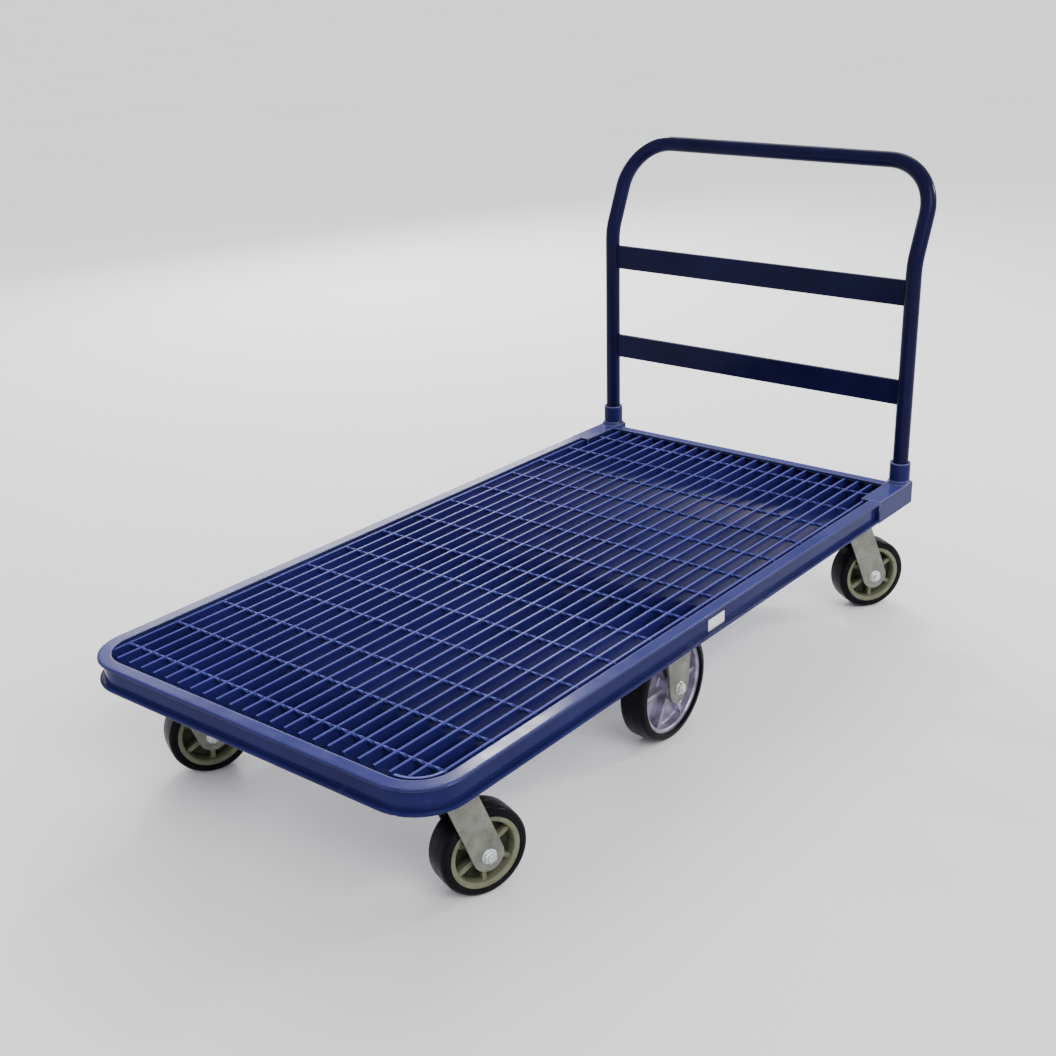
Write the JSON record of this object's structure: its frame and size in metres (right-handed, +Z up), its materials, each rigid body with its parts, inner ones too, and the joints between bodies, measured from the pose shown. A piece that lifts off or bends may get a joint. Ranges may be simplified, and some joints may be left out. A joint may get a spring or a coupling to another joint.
{
  "type": "platform truck",
  "caption": "Flat platform truck with a steel grating deck, a bent rail round the nose, swivel corner casters, fixed centre wheels and a lift-out push handle.",
  "frame": {"origin": "on the floor, midway between the nose rail and the back of the handle, on the deck centre line", "axes": "+Z up, +Y from the nose to the handle end, +X to the right side"},
  "size_m": [0.7654, 1.5946, 0.9125],
  "materials": {
    "frame_blue": "gloss",
    "grating_blue": "gloss",
    "under_navy": "satin",
    "handle_navy": "gloss",
    "label_white": "matte",
    "tyre_black": "matte",
    "hub_aluminium": "polished",
    "hub_olive": "satin",
    "bush_bronze": "satin",
    "ball_steel": "polished",
    "bolt_zinc": "bright zinc",
    "zinc_plate": "zinc plated"
  },
  "bodies": {
    "deck": {"frame_channel": "frame_blue", "rail_rear": "frame_blue", "corner_block_left": "frame_blue", "corner_block_right": "frame_blue", "handle_socket_left": "frame_blue", "handle_socket_right": "frame_blue", "deck_grating": "grating_blue", "grating_band_right": "grating_blue", "cross_member_nose": "under_navy", "cross_member_rear": "under_navy", "cross_member_mid_1": "under_navy", "cross_member_mid_2": "under_navy", "rail_label": "label_white", "caster_bolts": "bolt_zinc", "kingpins": "bolt_zinc", "mid_bolts": "bolt_zinc", "caster_plate_front_left": "zinc_plate", "caster_plate_front_right": "zinc_plate", "caster_plate_rear_left": "zinc_plate", "caster_plate_rear_right": "zinc_plate", "mid_bracket_left": "zinc_plate", "mid_bracket_right": "zinc_plate", "mid_axle_left": "bolt_zinc", "mid_axle_right": "bolt_zinc"},
    "handle": {"handle_tube": "handle_navy", "handle_crossbar_lower": "handle_navy", "handle_crossbar_upper": "handle_navy"},
    "swivel_front_left": {"caster_fork_front_left": "zinc_plate", "caster_balls_front_left": "ball_steel", "caster_axle_front_left": "bolt_zinc"},
    "wheel_front_left": {"caster_hub_front_left": "hub_olive", "caster_bushing_front_left": "bush_bronze", "caster_tyre_front_left": "tyre_black"},
    "swivel_front_right": {"caster_fork_front_right": "zinc_plate", "caster_balls_front_right": "ball_steel", "caster_axle_front_right": "bolt_zinc"},
    "wheel_front_right": {"caster_hub_front_right": "hub_olive", "caster_bushing_front_right": "bush_bronze", "caster_tyre_front_right": "tyre_black"},
    "swivel_rear_left": {"caster_fork_rear_left": "zinc_plate", "caster_balls_rear_left": "ball_steel", "caster_axle_rear_left": "bolt_zinc"},
    "wheel_rear_left": {"caster_hub_rear_left": "hub_olive", "caster_bushing_rear_left": "bush_bronze", "caster_tyre_rear_left": "tyre_black"},
    "swivel_rear_right": {"caster_fork_rear_right": "zinc_plate", "caster_balls_rear_right": "ball_steel", "caster_axle_rear_right": "bolt_zinc"},
    "wheel_rear_right": {"caster_hub_rear_right": "hub_olive", "caster_bushing_rear_right": "bush_bronze", "caster_tyre_rear_right": "tyre_black"},
    "mid_wheel_left": {"mid_hub_left": "hub_aluminium", "mid_bushing_left": "bush_bronze", "mid_tyre_left": "tyre_black"},
    "mid_wheel_right": {"mid_hub_right": "hub_aluminium", "mid_bushing_right": "bush_bronze", "mid_tyre_right": "tyre_black"}
  },
  "joints": [
    {"name": "handle_lift", "type": "slide", "parent": "deck", "child": "handle", "axis": [0, 0, 1], "range_m": [0, 0.1]},
    {"name": "swivel_front_left", "type": "hinge", "parent": "deck", "child": "swivel_front_left", "pos_m": [-0.304, -0.65934, 0.19], "axis": [0, 0, 1], "continuous": true},
    {"name": "spin_front_left", "type": "hinge", "parent": "swivel_front_left", "child": "wheel_front_left", "pos_m": [-0.28625, -0.62127, 0.0735], "axis": [0.9063, -0.4226, 0], "continuous": true},
    {"name": "swivel_front_right", "type": "hinge", "parent": "deck", "child": "swivel_front_right", "pos_m": [0.304, -0.65934, 0.19], "axis": [0, 0, 1], "continuous": true},
    {"name": "spin_front_right", "type": "hinge", "parent": "swivel_front_right", "child": "wheel_front_right", "pos_m": [0.31837, -0.61987, 0.0735], "axis": [0.9397, -0.342, 0], "continuous": true},
    {"name": "swivel_rear_left", "type": "hinge", "parent": "deck", "child": "swivel_rear_left", "pos_m": [-0.304, 0.60566, 0.19], "axis": [0, 0, 1], "continuous": true},
    {"name": "spin_rear_left", "type": "hinge", "parent": "swivel_rear_left", "child": "wheel_rear_left", "pos_m": [-0.28428, 0.64275, 0.0735], "axis": [0.8829, -0.4695, 0], "continuous": true},
    {"name": "swivel_rear_right", "type": "hinge", "parent": "deck", "child": "swivel_rear_right", "pos_m": [0.304, 0.60566, 0.19], "axis": [0, 0, 1], "continuous": true},
    {"name": "spin_rear_right", "type": "hinge", "parent": "swivel_rear_right", "child": "wheel_rear_right", "pos_m": [0.32688, 0.64089, 0.0735], "axis": [0.8387, -0.5446, 0], "continuous": true},
    {"name": "spin_mid_left", "type": "hinge", "parent": "deck", "child": "mid_wheel_left", "pos_m": [-0.287, -0.07234, 0.1016], "axis": [1, 0, 0], "continuous": true},
    {"name": "spin_mid_right", "type": "hinge", "parent": "deck", "child": "mid_wheel_right", "pos_m": [0.287, -0.07234, 0.1016], "axis": [1, 0, 0], "continuous": true}
  ]
}
